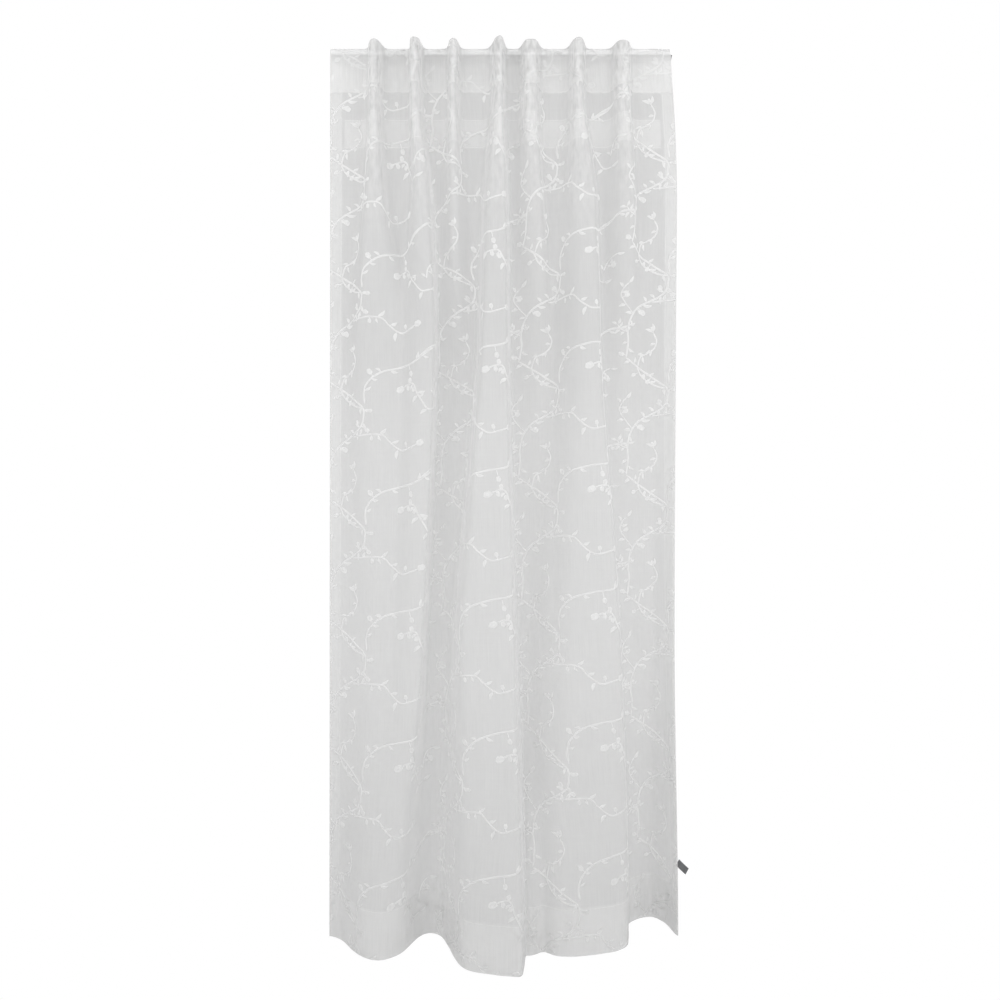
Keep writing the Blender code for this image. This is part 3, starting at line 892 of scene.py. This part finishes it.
def voile(name, alpha):
    """Sheer voile: fine threads with gaps, and slightly thicker threads here and there."""
    material, tree, shader = new_material(name, (0.84, 0.84, 0.835), 0.85)
    shader.inputs["Specular IOR Level"].default_value = 0.2
    shader.inputs["Sheen Weight"].default_value = 0.75
    shader.inputs["Sheen Roughness"].default_value = 0.4
    flat = node(tree, "ShaderNodeUVMap", uv_map="flat").outputs[0]
    slub_down = stretched_noise(tree, flat, 700, 9)
    slub_across = stretched_noise(tree, flat, 9, 700)
    cloud = stretched_noise(tree, flat, 16, 9, 3.0)
    threads = weave(tree, flat, THREAD_PITCH)
    crush = node(tree, "ShaderNodeAttribute", attribute_name="crush").outputs["Fac"]
    crumple = stretched_noise(tree, flat, 85, 30, 1.0)
    crumple = math_node(tree, "MULTIPLY", math_node(tree, "SUBTRACT", crumple, 0.5), crush)
    density = weighted(tree, 0.0, (slub_down, 0.08), (slub_across, 0.05), (cloud, 0.08),
                       (threads, 0.10), (crumple, 0.60))
    cover = math_node(tree, "ADD", density, alpha - MEAN_DENSITY, clamp=True)
    # The cover is raised where the cloth is marked, painted light on layers in shade included.
    cover_and_light = node(tree, "ShaderNodeAttribute", attribute_name="cover_and_light").outputs["Fac"]
    open_share = math_node(tree, "POWER", math_node(tree, "SUBTRACT", 1.0, cover), cover_and_light)
    tree.links.new(math_node(tree, "SUBTRACT", 1.0, open_share), shader.inputs["Alpha"])
    surface(tree, shader, slub_down, (0.78, 0.78, 0.777), (0.84, 0.84, 0.837),
            threads, 0.25, 0.0003)
    return material


def satin(name, color, pitch, alpha):
    """Shiny thread laid side by side, across the run of each stem and leaf."""
    material, tree, shader = new_material(name, color, 0.45)
    shader.inputs["Specular IOR Level"].default_value = 0.4
    shader.inputs["Sheen Weight"].default_value = 0.15
    shader.inputs["Alpha"].default_value = alpha
    own = node(tree, "ShaderNodeUVMap", uv_map="flat").outputs[0]
    parts = node(tree, "ShaderNodeSeparateXYZ", Vector=own).outputs
    spot = node(tree, "ShaderNodeTexCoord").outputs["Object"]
    mottle = node(tree, "ShaderNodeTexNoise", Scale=60.0, Detail=2.0, Vector=spot).outputs["Fac"]
    surface(tree, shader, mottle, (c * 0.95 for c in color), (min(c * 1.05, 1.0) for c in color),
            ridges(tree, parts[0], pitch), 0.5, 0.0002)
    return material


def tape():
    """The label's ribbed dark grey tape."""
    material, tree, shader = new_material("label_grey", (0.035, 0.036, 0.038), 0.75)
    own = node(tree, "ShaderNodeUVMap", uv_map="flat").outputs[0]
    threads = weave(tree, own, THREAD_PITCH)
    speck = node(tree, "ShaderNodeTexNoise", Scale=900.0, Detail=3.0, Vector=own).outputs["Fac"]
    surface(tree, shader, math_node(tree, "MULTIPLY", speck, threads),
            (0.085, 0.087, 0.091), (0.230, 0.233, 0.238), threads, 0.6, 0.0003)
    return material


def steel():
    """Drawn steel tube, with fine scratches along it."""
    material, tree, shader = new_material("rod_steel", (0.60, 0.60, 0.60), 0.34)
    shader.inputs["Metallic"].default_value = 1.0
    spot = node(tree, "ShaderNodeTexCoord").outputs["Object"]
    mapped = node(tree, "ShaderNodeMapping", Vector=spot, Scale=(6.0, 900.0, 900.0))
    lines = node(tree, "ShaderNodeTexNoise", Vector=mapped.outputs[0], Scale=1.0,
                 Detail=4.0).outputs["Fac"]
    dull = node(tree, "ShaderNodeTexNoise", Vector=spot, Scale=14.0, Detail=3.0).outputs["Fac"]
    rough = math_node(tree, "ADD", ranged(tree, lines, 0.12, 0.20), ranged(tree, dull, 0.0, 0.06))
    tree.links.new(rough, shader.inputs["Roughness"])
    surface(tree, shader, lines, (0.50, 0.50, 0.505), (0.72, 0.72, 0.725), lines, 0.12, 0.0002)
    return material


LAYER_COVER_AND_LIGHT = 1.35    # the hems' and the band's cover against a single sheet: partly their turned cloth, partly painted light that lifts them where they lie in the front's shade

cloth = voile("voile_white", 0.45)
thread = satin("embroidery_thread", (0.82, 0.82, 0.818), 0.0008, 0.68)
sewing = satin("sewing_thread", (0.78, 0.78, 0.777), 0.0005, 0.8)
for piece in (curtain, hems, band):
    piece.data.materials.append(cloth)
    mark_cover_and_painted_light(piece, 1.0 if piece is curtain else LAYER_COVER_AND_LIGHT)
for piece in embroidery:
    piece.data.materials.append(thread)
seam_threads.data.materials.append(sewing)
label.data.materials.append(tape())

# What each piece rides on and stands for.
for piece in (curtain, hems, band, seam_threads, label, *embroidery):
    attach(piece, "root")
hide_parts("panel")
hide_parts("back_band")
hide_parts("label")

steel_rod = steel()
for piece in bpy.context.scene.objects:
    if piece.type == "MESH" and piece.name.split(".")[0] == "rod":
        for material_slot in piece.material_slots:
            material_slot.material = steel_rod

# The camera, at the height of the curtain's middle and looking level at its front.
CAMERA_AWAY = 1.9
CAMERA_BELOW = 1.2235

camera = bpy.data.objects.new("camera", bpy.data.cameras.new("camera"))
camera.location = (0.0, -CAMERA_AWAY, -CAMERA_BELOW)
camera.rotation_euler = (math.pi / 2, 0, 0)
camera.data.sensor_width = 36
camera.data.lens = 24.84
camera.data.clip_start = 0.05
bpy.context.scene.collection.objects.link(camera)
bpy.context.scene.camera = camera

# Soft studio light. What the camera sees past the curtain is white, and what shows through the
# cloth is a dim room, a little dimmer far above and far below. The light around comes mostly
# from the front and the back, less from the sides and least from above and below.
ROOM_HIGH, ROOM_MIDDLE, ROOM_LOW = 0.49, 0.56, 0.50
FLOOR_NEAR, FLOOR_FAR = ROOM_LOW, 0.555
AROUND, FACES, SIDES = 0.345, 1.36, 0.90
SHINE_LOW, SHINE_HIGH = 0.06, 2.6
FLOOR_Z = -2.6


def backdrop(tree, room):
    """White where it is seen straight and the room's tone where it shows through cloth."""
    path = node(tree, "ShaderNodeLightPath").outputs
    through = math_node(tree, "GREATER_THAN", path["Transparent Depth"], 0.5)
    return path["Is Camera Ray"], blend(tree, through, (1, 1, 1, 1), room)


world = bpy.data.worlds.new("studio")
bpy.context.scene.world = world
world.use_nodes = True
tree = world.node_tree
direction = node(tree, "ShaderNodeTexCoord").outputs["Generated"]
way = node(tree, "ShaderNodeSeparateXYZ", Vector=direction).outputs
room_ramp = node(tree, "ShaderNodeValToRGB", Fac=ranged(tree, way[2], 0.0, 1.0, -0.50, 0.40))
room_ramp.color_ramp.interpolation = "EASE"
stops = room_ramp.color_ramp.elements
stops[0].color = (ROOM_LOW, ROOM_LOW, ROOM_LOW, 1)
stops[1].position, stops[1].color = 0.85, (ROOM_HIGH, ROOM_HIGH, ROOM_HIGH, 1)
for at in (0.31, 0.63):
    stops.new(at).color = (ROOM_MIDDLE, ROOM_MIDDLE, ROOM_MIDDLE, 1)
camera_ray, seen = backdrop(tree, room_ramp.outputs[0])
shine = ranged(tree, way[2], SHINE_LOW, SHINE_HIGH, -0.38, -0.08)
to_face, to_side = (
    math_node(tree, "POWER", math_node(tree, "ABSOLUTE", way[axis]), 4.0) for axis in (1, 0)
)
around = weighted(tree, AROUND, (to_face, FACES), (to_side, SIDES))
glossy_ray = node(tree, "ShaderNodeLightPath").outputs["Is Glossy Ray"]
lit = blend(tree, glossy_ray, around, shine)
tree.links.new(blend(tree, camera_ray, lit, seen), tree.nodes["Background"].inputs["Color"])

floor_mesh = bpy.data.meshes.new("floor")
corners = [(x, y, FLOOR_Z) for x, y in ((-4, -3.2), (4, -3.2), (4, 3), (-4, 3))]
floor_mesh.from_pydata(corners, [], [(0, 1, 2, 3)])
floor = bpy.data.objects.new("floor", floor_mesh)
bpy.context.scene.collection.objects.link(floor)
material, tree, shader = new_material("floor_pale", (0.50, 0.50, 0.50), 0.5)
level = node(tree, "ShaderNodeMapping", Scale=(1.0, 1.0, 0.0),
             Vector=node(tree, "ShaderNodeTexCoord").outputs["Object"]).outputs[0]
away = node(tree, "ShaderNodeVectorMath", operation="LENGTH", i0=level).outputs["Value"]
camera_ray, seen = backdrop(tree, ranged(tree, away, FLOOR_NEAR, FLOOR_FAR, 0.4, 3.0))
shown = node(tree, "ShaderNodeEmission", Color=seen)
mixed = node(tree, "ShaderNodeMixShader", i0=camera_ray, i1=shader.outputs[0],
             i2=shown.outputs[0])
tree.links.new(mixed.outputs[0], tree.nodes["Material Output"].inputs["Surface"])
floor_mesh.materials.append(material)


def soft_light(name, spot, aim, size, power):
    """A rectangular lamp at a spot, turned to face its aim, of a size and power in watts."""
    light = bpy.data.objects.new(name, bpy.data.lights.new(name, "AREA"))
    light.data.shape = "RECTANGLE"
    light.data.size, light.data.size_y = size
    light.data.energy = power
    light.location = spot
    toward = np.asarray(aim, float) - spot
    light.rotation_euler = (math.acos(-toward[2] / np.linalg.norm(toward)), 0,
                            math.atan2(toward[0], -toward[1]) + math.pi)
    light.visible_camera = False
    bpy.context.scene.collection.objects.link(light)


soft_light("key", (-2.4, -2.6, 0.4), (0, 0, -1.1), (1.6, 2.4), 26)
soft_light("fill", (2.6, -2.4, -0.6), (0, 0, -1.2), (1.8, 2.4), 28)

scene = bpy.context.scene
scene.view_settings.view_transform = "Standard"
scene.view_settings.look = "None"
scene.cycles.transparent_max_bounces = 24
scene.cycles.max_bounces = 8
